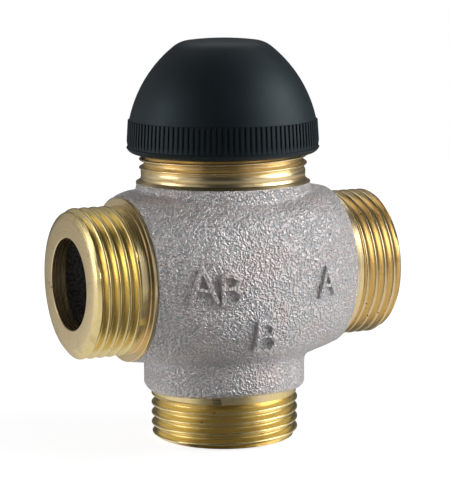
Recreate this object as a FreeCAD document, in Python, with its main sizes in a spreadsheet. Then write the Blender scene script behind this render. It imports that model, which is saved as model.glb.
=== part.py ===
import FreeCAD, Part
import Sketcher
import math
import os
import re

# Three-way mixing valve with three flat-sealing male ports and a cap screwed on its neck.
# Millimetres, +Z up along the spindle. The origin is the centre of the lower port's sealing
# face. The straight way runs along X, with port AB at -X and port A at +X; port B is below.
# The spindle is drawn fully raised. Each size is one cell of the spreadsheet.

SIZES = [
    # three ports with a parallel pipe thread, flat sealing
    ("port_thread_dia", 26.44, "crest of the male port thread"),
    ("port_reach", 30.0, "spindle axis to a side port's sealing face"),
    ("port_axis_height", 30.0, "lower port's sealing face to the side ports' axis"),
    ("port_chamfer_run", 1.1, "length of the thread's lead-in chamfer"),
    ("port_chamfer_rise", 1.47, "height of that chamfer"),
    ("port_relief_run", 2.0, "thread relief in front of the shoulder"),
    ("port_relief_dia", 26.0, "diameter of the thread relief"),
    ("port_bore_dia", 16.2, "machined lip in the mouth of each port"),
    ("port_lip_run", 2.8, "depth of that lip"),
    ("port_core_dia", 18.8, "cored waterway behind the lip"),
    ("side_core_end", 15.5, "spindle axis to the inner end of a side waterway"),
    ("boss_dia", 29.0, "cast boss behind each port"),
    ("side_shoulder", 20.0, "spindle axis to a side port's shoulder"),
    ("lower_shoulder", 9.2, "lower port's sealing face to its shoulder"),
    ("boss_edge_round", 1.0, "round on the lower boss's cast edge"),
    # cast belly, lofted along X
    ("belly_mid", 12.0, "spindle axis to the in-between section"),
    ("belly_width", 20.4, "half width of the belly at the spindle"),
    ("belly_width_mid", 18.4, "half width of the in-between section"),
    ("belly_rise", 16.0, "port axis to the belly's top at the spindle"),
    ("belly_rise_mid", 15.5, "port axis to the top of the in-between section"),
    ("belly_drop", 15.7, "port axis to the underside at the spindle"),
    ("belly_drop_mid", 15.0, "port axis to the underside of the in-between section"),
    ("belly_shoulder", 4.0, "upper corner at the spindle"),
    ("belly_shoulder_mid", 8.0, "upper corner of the in-between section"),
    ("belly_haunch", 8.0, "lower corner at the spindle"),
    ("belly_haunch_mid", 11.5, "lower corner of the in-between section"),
    ("belly_bulge", 60.0, "radius of the belly's slightly bulged sides"),
    ("boss_blend", 1.5, "fillet between the belly and the lower boss"),
    # neck with the regulator thread
    ("collar_dia", 31.2, "cast collar under the neck"),
    ("collar_top", 46.5, "top of the cast collar"),
    ("neck_band_dia", 29.4, "plain band under the neck thread"),
    ("neck_band_base", 47.1, "foot of the plain band"),
    ("neck_thread_start", 48.3, "lower end of the neck thread"),
    ("neck_thread_dia", 30.0, "crest of the neck thread"),
    ("neck_top", 54.0, "top face of the neck"),
    ("neck_edge", 0.8, "chamfer on the neck's top edge"),
    ("neck_bore_dia", 23.0, "screwed bore that takes the bonnet"),
    # chambers and seats inside the casting
    ("chamber_dia", 25.0, "mixing chamber and upper chamber"),
    ("lower_seat_face", 13.3, "rim of the lower seat, facing down"),
    ("lower_seat_dia", 12.2, "way through the lower seat"),
    ("seat_rim_height", 1.0, "how far a seat's rim stands off its web"),
    ("seat_rim_wall", 1.0, "wall of a seat's rim"),
    ("lower_web", 2.2, "thickness of the web that carries the lower seat"),
    ("upper_seat_face", 35.3, "rim of the upper seat, facing up"),
    ("upper_seat_dia", 14.4, "way through the upper seat"),
    ("upper_web", 2.8, "thickness of the web that carries the upper seat"),
    ("chamber_top", 42.2, "roof of the upper chamber"),
    ("outlet_duct_height", 24.4, "axis of the duct from the mixing chamber to port AB"),
    ("outlet_duct_dia", 13.0, "duct from the mixing chamber to port AB"),
    ("inlet_duct_base", 35.0, "floor of the duct from port A to the upper chamber"),
    ("inlet_duct_rise", 6.6, "height of that duct"),
    ("inlet_duct_width", 15.0, "width of that duct"),
    ("duct_overlap", 3.0, "how far a duct runs on into its side waterway"),
    # bonnet, gland and guide
    ("fit_clearance", 0.05, "radial clearance of a guided or screwed fit"),
    ("bonnet_base", 41.2, "lower end of the bonnet"),
    ("bonnet_tail_dia", 18.0, "tail of the bonnet in the upper chamber"),
    ("bonnet_tail_run", 2.0, "length of that tail"),
    ("flange_dia", 26.4, "flange that sits on the neck"),
    ("flange_thick", 1.0, "thickness of the flange"),
    ("bonnet_hex", 22.0, "bonnet's hexagon across its flats"),
    ("bonnet_hex_thick", 1.8, "height of that hexagon"),
    ("bonnet_ring_height", 45.6, "middle of the bonnet's sealing ring"),
    ("bonnet_ring_section", 1.8, "section of that ring"),
    ("spring_room_dia", 13.0, "room for the return spring"),
    ("spring_room_top", 50.4, "roof of that room"),
    ("gland_floor", 51.6, "floor of the gland rings' room"),
    ("gland_ring_section", 1.2, "section of a gland ring"),
    ("gland_spacer_thick", 0.5, "washer between the gland rings"),
    ("gland_hex", 10.0, "gland nut across its flats"),
    ("gland_hex_thick", 1.6, "height of the gland nut's head"),
    ("guide_thick", 2.0, "height of the guide bush"),
    # spindle and its discs
    ("stroke", 2.5, "way of the upper disc to its seat"),
    ("seal_gap", 0.1, "gap between a seal and its seat at an end of the travel"),
    ("pin_dia", 3.0, "push pin"),
    ("pin_top", 61.4, "top of the push pin"),
    ("pin_edge", 0.4, "chamfer on the push pin"),
    ("head_gap", 0.3, "spindle head to the roof of the spring room"),
    ("head_dia", 7.6, "head of the spindle"),
    ("head_thick", 0.7, "thickness of that head"),
    ("spindle_dia", 4.0, "guided part of the spindle"),
    ("tail_dia", 3.0, "part of the spindle that carries the discs"),
    ("tail_spare", 0.6, "spindle left below its nut"),
    ("retainer_dia", 11.4, "washer on top of the spring"),
    ("retainer_thick", 0.6, "thickness of that washer"),
    ("spring_wire", 0.7, "wire of the return spring"),
    ("spring_dia", 9.6, "mean diameter of the return spring"),
    ("spring_turns", 3.0, "turns of the return spring"),
    ("seal_overlap", 0.6, "how far a disc reaches past its seat's rim"),
    ("disc_thick", 1.6, "plate of a disc"),
    ("disc_rim", 0.5, "wall of the rim that holds a disc's seal"),
    ("disc_rim_rise", 0.9, "height of that rim"),
    ("seal_thick", 1.4, "thickness of a disc's seal"),
    ("sleeve_dia", 6.0, "distance sleeve between the discs"),
    ("washer_dia", 7.0, "washer under the lower disc"),
    ("washer_thick", 0.5, "thickness of that washer"),
    ("nut_hex", 5.5, "spindle nut across its flats"),
    ("nut_thick", 2.4, "height of the spindle nut"),
    # cap, one moulding
    ("cap_base", 51.5, "lower lip of the cap at its bore"),
    ("lip_wall", 0.62, "width of the lip outside the cap's bore"),
    ("cap_lip_rise", 0.1, "rise of the underside to that edge"),
    ("cap_round", 1.6, "round between the lip and the grip band"),
    ("grip_wall", 2.12, "wall of the grip band at its foot, over the ribs"),
    ("grip_foot", 52.6, "foot of the grip band"),
    ("grip_taper", 0.3, "how much the band's radius shrinks to its head"),
    ("grip_head", 57.45, "head of the grip band"),
    ("rib_count", 110, "ribs round the grip band"),
    ("rib_depth", 0.36, "depth of the grooves between the ribs"),
    ("groove_width", 0.4, "width of those grooves"),
    ("groove_foot", 52.6, "lower end of those grooves"),
    ("dome_step", 0.25, "step from the band's head in to the dome"),
    ("flank_radius", 22.6, "radius of the dome's flank"),
    ("dome_shoulder_dia", 17.46, "dome where its curve tightens"),
    ("dome_shoulder", 70.38, "height of that place"),
    ("shoulder_radius", 5.0, "radius of that tighter curve"),
    ("crown_dia", 12.4, "edge of the nearly flat crown"),
    ("crown_radius", 50.0, "radius of the crown"),
    ("cap_top", 71.85, "top of the cap"),
    ("cap_wall", 2.0, "wall of the dome"),
    ("cap_clearance", 0.08, "radial clearance of the cap on the neck"),
    ("cap_thread_top", 57.0, "upper end of the cap's screwed bore"),
    ("stud_dia", 6.4, "stud in the crown that presses the push pin"),
    ("stud_gap", 0.03, "gap between that stud and the pin"),
]

doc = FreeCAD.newDocument("mixing_valve")
sheet = doc.addObject("Spreadsheet::Sheet", "sizes")
for row, (alias, number, meaning) in enumerate(SIZES, start=1):
    sheet.set(f"A{row}", meaning)
    sheet.set(f"B{row}", str(number))
    sheet.setAlias(f"B{row}", alias)
doc.recompute()
aliases = {alias for alias, _, _ in SIZES}
pieces = []


def bound(text):
    """A size expression with each size's name turned into its cell."""
    return re.sub(r"[a-z_]+", lambda m: f"sizes.{m[0]}" if m[0] in aliases else m[0], str(text))


def value(text):
    """The number that a size expression gives."""
    return float(sheet.evalExpression(bound(text)))


def new_body(label):
    """The body of one piece; it is written out under its label."""
    body = doc.addObject("PartDesign::Body", label)
    body.Label = label
    pieces.append(body)
    return body


def new_sketch(body, name, plane="XZ_Plane", off="0", up="0"):
    """A sketch on one of the body's planes, moved off that plane and up along it."""
    sketch = body.newObject("Sketcher::SketchObject", name)
    base = next(o for o in body.Origin.OriginFeatures if o.Role == plane)
    sketch.AttachmentSupport = [(base, "")]
    sketch.MapMode = "FlatFace"
    sketch.setExpression("AttachmentOffset.Base.y", bound(up))
    sketch.setExpression("AttachmentOffset.Base.z", bound(off))
    return sketch


def hold(sketch, kind, name, text, *where):
    """Adds a named dimension that follows a size expression."""
    index = sketch.addConstraint(Sketcher.Constraint(kind, *where, value(text)))
    sketch.renameConstraint(index, name)
    sketch.setExpression(f"Constraints.{name}", bound(text))


def arc_between(start, end, radius):
    """Arc that bulges to the right of its way, or to the left for a negative radius."""
    a, b = FreeCAD.Vector(*start, 0), FreeCAD.Vector(*end, 0)
    half = (b - a).Length / 2
    rise = abs(radius) - math.sqrt(max(radius ** 2 - half ** 2, 0))
    side = FreeCAD.Vector(b.y - a.y, a.x - b.x, 0).normalize() * math.copysign(rise, radius)
    return Part.Arc(a, (a + b) / 2 + side, b)


def outline(sketch, points):
    """Closed outline of (across, up), each with the radius of an arc to the next point if any."""
    places = [(value(p[0]), value(p[1])) for p in points]
    starts, ends = [], []
    for i, p in enumerate(points):
        here, there = places[i], places[(i + 1) % len(points)]
        if len(p) == 3:
            g = sketch.addGeometry(arc_between(here, there, value(p[2])), False)
            forward = (sketch.getPoint(g, 1) - FreeCAD.Vector(*here, 0)).Length < 1e-6
        else:
            corners = FreeCAD.Vector(*here, 0), FreeCAD.Vector(*there, 0)
            g = sketch.addGeometry(Part.LineSegment(*corners), False)
            forward = True
        starts.append((g, 1 if forward else 2))
        ends.append((g, 2 if forward else 1))
    for i, p in enumerate(points):
        sketch.addConstraint(Sketcher.Constraint("Coincident", *ends[i - 1], *starts[i]))
        hold(sketch, "DistanceX", f"across_{i}", p[0], *starts[i])
        hold(sketch, "DistanceY", f"up_{i}", p[1], *starts[i])
        if len(p) == 3:
            hold(sketch, "Radius", f"radius_{i}", p[2].lstrip("-"), starts[i][0])
    return sketch


def circle(sketch, across, up, diameter, name="ring"):
    """A circle that follows size expressions."""
    centre = FreeCAD.Vector(value(across), value(up), 0)
    shape = Part.Circle(centre, FreeCAD.Vector(0, 0, 1), value(diameter) / 2)
    g = sketch.addGeometry(shape, False)
    hold(sketch, "Diameter", f"{name}_dia", diameter, g)
    hold(sketch, "DistanceX", f"{name}_across", across, g, 3)
    hold(sketch, "DistanceY", f"{name}_up", up, g, 3)
    return sketch


def hexagon(sketch, flats):
    """A hexagon about the spindle with two flats facing X."""
    corners = [30 + 60 * i for i in range(6)]
    return outline(sketch, [(f"{flats} / sqrt(3) * cos({a} deg)", f"{flats} / sqrt(3) * sin({a} deg)")
                            for a in corners])


def turned(body, kind, name, sketch, axis="V_Axis"):
    """Turns a profile once round its sketch's axis."""
    feature = body.newObject(f"PartDesign::{kind}", name)
    feature.Profile = sketch
    feature.ReferenceAxis = (sketch, [axis])
    feature.Angle = 360.0
    doc.recompute()
    return feature


def straight(body, kind, name, sketch, length, midplane=False, reverse=False):
    """Pads or pockets a sketch by a size expression."""
    feature = body.newObject(f"PartDesign::{kind}", name)
    feature.Profile = sketch
    feature.setExpression("Length", bound(length))
    feature.Midplane = midplane
    feature.Reversed = reverse
    doc.recompute()
    return feature


def turned_piece(label, points):
    """A piece that is one turning about the spindle."""
    body = new_body(label)
    turned(body, "Revolution", "turning", outline(new_sketch(body, "profile"), points))
    return body


def washer(label, outer, inner, base, height):
    """A flat ring about the spindle."""
    return turned_piece(label, [(f"({inner}) / 2", base), (f"({outer}) / 2", base),
                                (f"({outer}) / 2", f"{base} + {height}"),
                                (f"({inner}) / 2", f"{base} + {height}")])


def o_ring(label, mean_radius, section, height):
    """A round-section ring about the spindle."""
    ring = doc.addObject("Part::Torus", label)
    ring.Label = label
    ring.setExpression("Radius1", bound(mean_radius))
    ring.setExpression("Radius2", bound(f"({section}) / 2"))
    ring.setExpression("Placement.Base.z", bound(height))
    pieces.append(ring)
    return ring


# ------------------------------------------------------------ valve body, one casting

def corner_point(width, rise, corner, bulge):
    """Ends of a corner arc that runs tangent into two bulged sides, by the sides' centres."""
    reach = f"({bulge} - {corner})"
    side = f"({bulge} - {width})"
    top = f"({bulge} - {rise})"
    gap = f"sqrt({side} ^ 2 + {top} ^ 2)"
    along = f"({gap} / 2)"
    off = f"sqrt({reach} ^ 2 - {along} ^ 2)"
    # the corner's centre is as far from both sides' centres as the bulge less the corner
    across = f"(-{side} / 2 + {off} * {top} / {gap})"
    up = f"(-{top} / 2 + {off} * {side} / {gap})"
    stretch = f"({bulge} / {reach})"
    on_side = (f"(({across} + {side}) * {stretch} - {side})", f"({up} * {stretch})")
    on_top = (f"({across} * {stretch})", f"(({up} + {top}) * {stretch} - {top})")
    return on_side, on_top


def belly_section(body, name, off, width, rise, drop, shoulder, haunch):
    """Section across X: bulged flat sides between tight upper and fuller lower corners."""
    side_up, top = corner_point(width, rise, shoulder, "belly_bulge")
    side_low, low = corner_point(width, drop, haunch, "belly_bulge")
    sketch = new_sketch(body, name, "YZ_Plane", off, "port_axis_height")
    return outline(sketch, [
        (f"-{low[0]}", f"-{low[1]}", "belly_bulge"),
        (low[0], f"-{low[1]}", haunch),
        (side_low[0], f"-{side_low[1]}", "belly_bulge"),
        (side_up[0], side_up[1], shoulder),
        (top[0], top[1], "belly_bulge"),
        (f"-{top[0]}", top[1], shoulder),
        (f"-{side_up[0]}", side_up[1], "belly_bulge"),
        (f"-{side_low[0]}", f"-{side_low[1]}", haunch),
    ])


def round_section(body, name, off):
    """The belly's end: the boss's circle in as many arcs as the other sections have edges."""
    sketch = new_sketch(body, name, "YZ_Plane", off, "port_axis_height")
    angles = [-108, -72, -18, 18, 72, 108, 162, 198]
    return outline(sketch, [(f"boss_dia / 2 * cos({a} deg)", f"boss_dia / 2 * sin({a} deg)",
                             "boss_dia / 2") for a in angles])


casting = new_body("valve_body")
mid_sizes = ("belly_width_mid", "belly_rise_mid", "belly_drop_mid",
             "belly_shoulder_mid", "belly_haunch_mid")
sections = [
    round_section(casting, "end_ab", "-side_shoulder"),
    belly_section(casting, "mid_ab", "-belly_mid", *mid_sizes),
    belly_section(casting, "waist", "0", "belly_width", "belly_rise", "belly_drop",
                  "belly_shoulder", "belly_haunch"),
    belly_section(casting, "mid_a", "belly_mid", *mid_sizes),
    round_section(casting, "end_a", "side_shoulder"),
]
doc.recompute()
belly = casting.newObject("PartDesign::AdditiveLoft", "belly")
belly.Profile = sections[0]
belly.Sections = sections[1:]
doc.recompute()

boss_outline = outline(new_sketch(casting, "boss_outline"), [
    ("0", "lower_shoulder"),
    ("boss_dia / 2 - boss_edge_round", "lower_shoulder", "boss_edge_round"),
    ("boss_dia / 2", "lower_shoulder + boss_edge_round"),
    ("boss_dia / 2", "port_axis_height"),
    ("0", "port_axis_height"),
])
lower_boss = turned(casting, "Revolution", "lower_boss", boss_outline)

neck_outline = outline(new_sketch(casting, "neck_outline"), [
    ("0", "port_axis_height"),
    ("boss_dia / 2", "port_axis_height"),
    ("collar_dia / 2", "port_axis_height + belly_rise / 2"),
    ("collar_dia / 2", "collar_top"),
    ("neck_band_dia / 2", "neck_band_base"),
    ("neck_band_dia / 2", "neck_thread_start"),
    ("neck_thread_dia / 2", "neck_thread_start + (neck_thread_dia - neck_band_dia) / 2"),
    ("neck_thread_dia / 2", "neck_top - neck_edge"),
    ("neck_thread_dia / 2 - neck_edge", "neck_top"),
    ("0", "neck_top"),
])
neck = turned(casting, "Revolution", "neck", neck_outline)


def port_profile(face, shoulder, root):
    """Outline of a port's end in (along, radius): relief, thread zone and chamfered face."""
    out = "-1" if value(face) < value(root) else "1"
    slope = "(port_thread_dia - port_relief_dia) / 2"
    return [
        (root, "0"),
        (root, "port_relief_dia / 2"),
        (f"{shoulder} + {out} * (port_relief_run - {slope})", "port_relief_dia / 2"),
        (f"{shoulder} + {out} * port_relief_run", "port_thread_dia / 2"),
        (f"{face} - {out} * port_chamfer_run", "port_thread_dia / 2"),
        (face, "port_thread_dia / 2 - port_chamfer_rise"),
        (face, "0"),
    ]


def upright(points):
    """Turns (along, radius) points of a side port so that they stand on the spindle's axis."""
    return [(radius, along) for along, radius in points]


for side, sign in (("ab", "-"), ("a", "")):
    side_sketch = new_sketch(casting, f"port_{side}_outline", up="port_axis_height")
    outline(side_sketch, port_profile(f"{sign}port_reach", f"{sign}side_shoulder",
                                      f"{sign}side_core_end"))
    turned(casting, "Revolution", f"port_{side}", side_sketch, "H_Axis")
lower_sketch = new_sketch(casting, "port_b_outline")
outline(lower_sketch, upright(port_profile("0", "lower_shoulder", "port_core_dia")))
turned(casting, "Revolution", "port_b", lower_sketch)


def fillet_where(body, name, radius, chosen):
    """Rounds those edges of the body so far that the test chooses."""
    base = body.Tip
    edges = [f"Edge{i}" for i, edge in enumerate(base.Shape.Edges, start=1) if chosen(edge)]
    fillet = body.newObject("PartDesign::Fillet", name)
    fillet.Base = (base, edges)
    fillet.setExpression("Radius", bound(radius))
    doc.recompute()
    return fillet


def meets_belly(edge):
    """True for the edges where the lower boss leaves the belly's underside."""
    middle = edge.valueAt((edge.FirstParameter + edge.LastParameter) / 2)
    on_boss = abs(math.hypot(middle.x, middle.y) - value("boss_dia / 2")) < 1e-3
    lowest = value("lower_shoulder + boss_edge_round + 1")
    return on_boss and lowest < middle.z < value("port_axis_height") and edge.Length > 0.5


fillet_where(casting, "boss_blend", "boss_blend", meets_belly)

# waterways: the bore along the spindle, then the side ways, then the two ducts
lower_web_base = "(lower_seat_face + seat_rim_height)"
lower_web_top = f"({lower_web_base} + lower_web)"
upper_web_top = "(upper_seat_face - seat_rim_height)"
upper_web_base = f"({upper_web_top} - upper_web)"
spindle_way = outline(new_sketch(casting, "spindle_way"), [
    ("0", "0"),
    ("port_bore_dia / 2", "0"),
    ("port_bore_dia / 2", "port_lip_run"),
    ("port_core_dia / 2", "port_lip_run"),
    ("port_core_dia / 2", lower_web_base),
    ("lower_seat_dia / 2 + seat_rim_wall", lower_web_base),
    ("lower_seat_dia / 2 + seat_rim_wall", "lower_seat_face"),
    ("lower_seat_dia / 2", "lower_seat_face"),
    ("lower_seat_dia / 2", lower_web_top),
    ("chamber_dia / 2", lower_web_top),
    ("chamber_dia / 2", upper_web_base),
    ("upper_seat_dia / 2", upper_web_base),
    ("upper_seat_dia / 2", "upper_seat_face"),
    ("upper_seat_dia / 2 + seat_rim_wall", "upper_seat_face"),
    ("upper_seat_dia / 2 + seat_rim_wall", upper_web_top),
    ("chamber_dia / 2", upper_web_top),
    ("chamber_dia / 2", "chamber_top"),
    ("neck_bore_dia / 2", "chamber_top"),
    ("neck_bore_dia / 2", "neck_top"),
    ("0", "neck_top"),
])
turned(casting, "Groove", "spindle_way_cut", spindle_way)

for side, sign in (("ab", "-"), ("a", "")):
    lip_end = f"{sign}(port_reach - port_lip_run)"
    side_way = new_sketch(casting, f"side_way_{side}", up="port_axis_height")
    outline(side_way, [
        (f"{sign}port_reach", "0"),
        (f"{sign}port_reach", "port_bore_dia / 2"),
        (lip_end, "port_bore_dia / 2"),
        (lip_end, "port_core_dia / 2"),
        (f"{sign}side_core_end", "port_core_dia / 2"),
        (f"{sign}side_core_end", "0"),
    ])
    turned(casting, "Groove", f"side_way_{side}_cut", side_way, "H_Axis")

outlet = circle(new_sketch(casting, "outlet_duct", "YZ_Plane"), "0", "outlet_duct_height",
                "outlet_duct_dia")
straight(casting, "Pocket", "outlet_duct_cut", outlet, "side_core_end + duct_overlap")
inlet = outline(new_sketch(casting, "inlet_duct", "YZ_Plane"), [
    ("-inlet_duct_width / 2", "inlet_duct_base"),
    ("inlet_duct_width / 2", "inlet_duct_base"),
    ("inlet_duct_width / 2", "inlet_duct_base + inlet_duct_rise"),
    ("-inlet_duct_width / 2", "inlet_duct_base + inlet_duct_rise"),
])
straight(casting, "Pocket", "inlet_duct_cut", inlet, "side_core_end + duct_overlap", reverse=True)

# ------------------------------------------------------------ bonnet, gland and guide

neck_fit = "(neck_bore_dia / 2 - fit_clearance)"
ring_groove = f"({neck_fit} - bonnet_ring_section)"
ring_half = "(bonnet_ring_section / 2 + fit_clearance)"
hex_base = "(neck_top + flange_thick)"
hex_top = f"({hex_base} + bonnet_hex_thick)"
pin_hole = "(pin_dia / 2 + fit_clearance)"
gland_room = "(pin_dia / 2 + gland_ring_section + fit_clearance)"

bonnet = new_body("bonnet")
hex_plate = hexagon(new_sketch(bonnet, "hexagon", "XY_Plane", off=hex_base), "bonnet_hex")
straight(bonnet, "Pad", "hexagon_pad", hex_plate, "bonnet_hex_thick")
bonnet_outline = outline(new_sketch(bonnet, "outline"), [
    ("0", "bonnet_base"),
    ("bonnet_tail_dia / 2", "bonnet_base"),
    ("bonnet_tail_dia / 2", "bonnet_base + bonnet_tail_run"),
    (neck_fit, "bonnet_base + bonnet_tail_run"),
    (neck_fit, f"bonnet_ring_height - {ring_half}"),
    (ring_groove, f"bonnet_ring_height - {ring_half}"),
    (ring_groove, f"bonnet_ring_height + {ring_half}"),
    (neck_fit, f"bonnet_ring_height + {ring_half}"),
    (neck_fit, "neck_top"),
    ("flange_dia / 2", "neck_top"),
    ("flange_dia / 2", hex_base),
    ("0", hex_base),
])
turned(bonnet, "Revolution", "turning", bonnet_outline)
bonnet_way = outline(new_sketch(bonnet, "way"), [
    ("0", "bonnet_base"),
    ("spring_room_dia / 2", "bonnet_base"),
    ("spring_room_dia / 2", "spring_room_top"),
    (pin_hole, "spring_room_top"),
    (pin_hole, "gland_floor"),
    (gland_room, "gland_floor"),
    (gland_room, hex_top),
    ("0", hex_top),
])
turned(bonnet, "Groove", "way_cut", bonnet_way)
o_ring("bonnet_ring", f"{neck_fit} - bonnet_ring_section / 2", "bonnet_ring_section",
       "bonnet_ring_height")

ring_mean = "pin_dia / 2 + gland_ring_section / 2 + fit_clearance / 2"
spacer_base = "(gland_floor + gland_ring_section)"
upper_ring_base = f"({spacer_base} + gland_spacer_thick)"
gland_base = f"({upper_ring_base} + gland_ring_section)"
gland_outer = f"({gland_room} - fit_clearance)"
o_ring("lower_gland_ring", ring_mean, "gland_ring_section", "gland_floor + gland_ring_section / 2")
washer("gland_spacer", f"2 * {gland_outer}", f"2 * {pin_hole}", spacer_base, "gland_spacer_thick")
o_ring("upper_gland_ring", ring_mean, "gland_ring_section",
       f"{upper_ring_base} + gland_ring_section / 2")

gland_nut = new_body("gland_nut")
gland_head = hexagon(new_sketch(gland_nut, "hexagon", "XY_Plane", off=hex_top), "gland_hex")
straight(gland_nut, "Pad", "hexagon_pad", gland_head, "gland_hex_thick")
gland_shank = outline(new_sketch(gland_nut, "shank"), [
    ("0", gland_base),
    (gland_outer, gland_base),
    (gland_outer, hex_top),
    ("0", hex_top),
])
turned(gland_nut, "Revolution", "shank_turning", gland_shank)
pin_way = outline(new_sketch(gland_nut, "pin_way"), [
    ("0", gland_base),
    (pin_hole, gland_base),
    (pin_hole, f"{hex_top} + gland_hex_thick"),
    ("0", f"{hex_top} + gland_hex_thick"),
])
turned(gland_nut, "Groove", "pin_way_cut", pin_way)

washer("guide_bush", "spring_room_dia - 2 * fit_clearance", "spindle_dia + 2 * fit_clearance",
       "bonnet_base", "guide_thick")

# ------------------------------------------------------------ spindle with its discs, raised

head_top = "(spring_room_top - head_gap)"
head_base = f"({head_top} - head_thick)"
retainer_base = f"({head_base} - retainer_thick)"
spring_base = "(bonnet_base + guide_thick)"
upper_seal_base = "(upper_seat_face + stroke)"
upper_disc_base = f"({upper_seal_base} + seal_thick)"
upper_disc_top = f"({upper_disc_base} + disc_thick)"
lower_seal_top = "(lower_seat_face - seal_gap)"
lower_seal_base = f"({lower_seal_top} - seal_thick)"
lower_disc_base = f"({lower_seal_base} - disc_thick)"
washer_base = f"({lower_disc_base} - washer_thick)"
nut_base = f"({washer_base} - nut_thick)"
tail_hole = "(tail_dia / 2 + fit_clearance)"
upper_disc_radius = "(upper_seat_dia / 2 + seat_rim_wall + seal_overlap + disc_rim)"
lower_disc_radius = "(lower_seat_dia / 2 + seat_rim_wall + seal_overlap / 2 + disc_rim)"

turned_piece("push_pin", [
    ("0", head_top),
    ("pin_dia / 2", head_top),
    ("pin_dia / 2", "pin_top - pin_edge"),
    ("pin_dia / 2 - pin_edge", "pin_top"),
    ("0", "pin_top"),
])
turned_piece("spindle", [
    ("0", f"{nut_base} - tail_spare"),
    ("tail_dia / 2", f"{nut_base} - tail_spare"),
    ("tail_dia / 2", upper_disc_top),
    ("spindle_dia / 2", upper_disc_top),
    ("spindle_dia / 2", head_base),
    ("head_dia / 2", head_base),
    ("head_dia / 2", head_top),
    ("0", head_top),
])
washer("spring_retainer", "retainer_dia", "spindle_dia + 2 * fit_clearance", retainer_base,
       "retainer_thick")

spring = new_body("return_spring")
wire = circle(new_sketch(spring, "wire"), "spring_dia / 2", f"{spring_base} + spring_wire / 2",
              "spring_wire")
coil = spring.newObject("PartDesign::AdditiveHelix", "coil")
coil.Profile = wire
coil.ReferenceAxis = (wire, ["V_Axis"])
coil.Mode = "height-turns-angle"
coil.setExpression("Height", bound(f"{retainer_base} - {spring_base} - spring_wire"))
coil.setExpression("Turns", bound("spring_turns"))
doc.recompute()


def disc(label, radius, plate, rim_end):
    """A disc whose rim holds its seal; the plate is given from its back to the seal's side."""
    turned_piece(label, [
        (tail_hole, plate[0]),
        (radius, plate[0]),
        (radius, rim_end),
        (f"{radius} - disc_rim", rim_end),
        (f"{radius} - disc_rim", plate[1]),
        (tail_hole, plate[1]),
    ])


disc("upper_disc", upper_disc_radius, (upper_disc_top, upper_disc_base),
     f"{upper_disc_base} - disc_rim_rise")
washer("upper_seal", f"2 * ({upper_disc_radius} - disc_rim - fit_clearance)", f"2 * {tail_hole}",
       upper_seal_base, "seal_thick")
washer("distance_sleeve", "sleeve_dia", f"2 * {tail_hole}", lower_seal_top,
       f"({upper_seal_base} - {lower_seal_top})")
washer("lower_seal", f"2 * ({lower_disc_radius} - disc_rim - fit_clearance)", f"2 * {tail_hole}",
       lower_seal_base, "seal_thick")
disc("lower_disc", lower_disc_radius, (lower_disc_base, lower_seal_base),
     f"{lower_seal_base} + disc_rim_rise")
washer("spindle_washer", "washer_dia", f"2 * {tail_hole}", washer_base, "washer_thick")

spindle_nut = new_body("spindle_nut")
nut_plate = hexagon(new_sketch(spindle_nut, "hexagon", "XY_Plane", off=nut_base), "nut_hex")
circle(nut_plate, "0", "0", f"2 * {tail_hole}", "thread")
straight(spindle_nut, "Pad", "hexagon_pad", nut_plate, "nut_thick")

# ------------------------------------------------------------ cap, one moulding

cap = new_body("protective_cap")
cap_bore = "(neck_thread_dia / 2 + cap_clearance)"
grip_radius = f"({cap_bore} + grip_wall)"
grip_head_radius = f"({grip_radius} - grip_taper)"
dome_radius = f"({grip_head_radius} - dome_step)"
grip_slope = "(grip_taper / (grip_head - grip_foot))"
stud_face = "(pin_top + stud_gap)"
shoulder_in = "(cap_wall / sqrt(2))"
crown_edge = "(cap_top - crown_radius + sqrt(crown_radius ^ 2 - crown_dia ^ 2 / 4))"
cap_outline = outline(new_sketch(cap, "outline"), [
    (cap_bore, "cap_base"),
    (f"{cap_bore} + lip_wall", "cap_base + cap_lip_rise", "cap_round"),
    (grip_radius, "grip_foot"),
    (grip_head_radius, "grip_head"),
    (dome_radius, "grip_head", "flank_radius"),
    ("dome_shoulder_dia / 2", "dome_shoulder", "shoulder_radius"),
    ("crown_dia / 2", crown_edge, "crown_radius"),
    ("0", "cap_top"),
    ("0", stud_face),
    ("stud_dia / 2", stud_face),
    ("stud_dia / 2", "cap_top - cap_wall"),
    ("crown_dia / 2 - cap_wall / 8", f"{crown_edge} - cap_wall", "-(shoulder_radius - cap_wall)"),
    (f"dome_shoulder_dia / 2 - {shoulder_in}", f"dome_shoulder - {shoulder_in}",
     "-(flank_radius - cap_wall)"),
    (f"{dome_radius} - cap_wall", "cap_thread_top"),
    (cap_bore, "cap_thread_top"),
])
turned(cap, "Revolution", "moulding", cap_outline)
groove_outline = outline(new_sketch(cap, "groove_outline"), [
    (f"{grip_radius} + {grip_slope} * (grip_foot - groove_foot) - rib_depth", "groove_foot"),
    (f"{grip_radius} + rib_depth", "groove_foot"),
    (f"{grip_radius} + rib_depth", "grip_head"),
    (f"{grip_head_radius} - rib_depth", "grip_head"),
])
groove = straight(cap, "Pocket", "groove", groove_outline, "groove_width", midplane=True)
pattern = cap.newObject("PartDesign::PolarPattern", "grooves")
pattern.Originals = [groove]
pattern.Axis = (groove_outline, ["V_Axis"])
pattern.Angle = 360.0
pattern.setExpression("Occurrences", bound("rib_count"))
cap.Tip = pattern
doc.recompute()

# ------------------------------------------------------------ checks and files

for thing in doc.Objects:
    if "Invalid" in thing.State or "Error" in thing.State:
        raise RuntimeError(f"{thing.Name} failed: {thing.State}")
os.makedirs("parts", exist_ok=True)
for piece in pieces:
    shape = piece.Shape
    if shape.isNull() or not shape.isValid() or len(shape.Solids) != 1:
        raise RuntimeError(f"{piece.Label} is not one valid solid")
    box = shape.BoundBox
    print(f"{piece.Label}: {shape.Volume:.1f} mm3, z {box.ZMin:.2f} to {box.ZMax:.2f}")
    shape.exportStep(f"parts/{piece.Label}.step")
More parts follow.
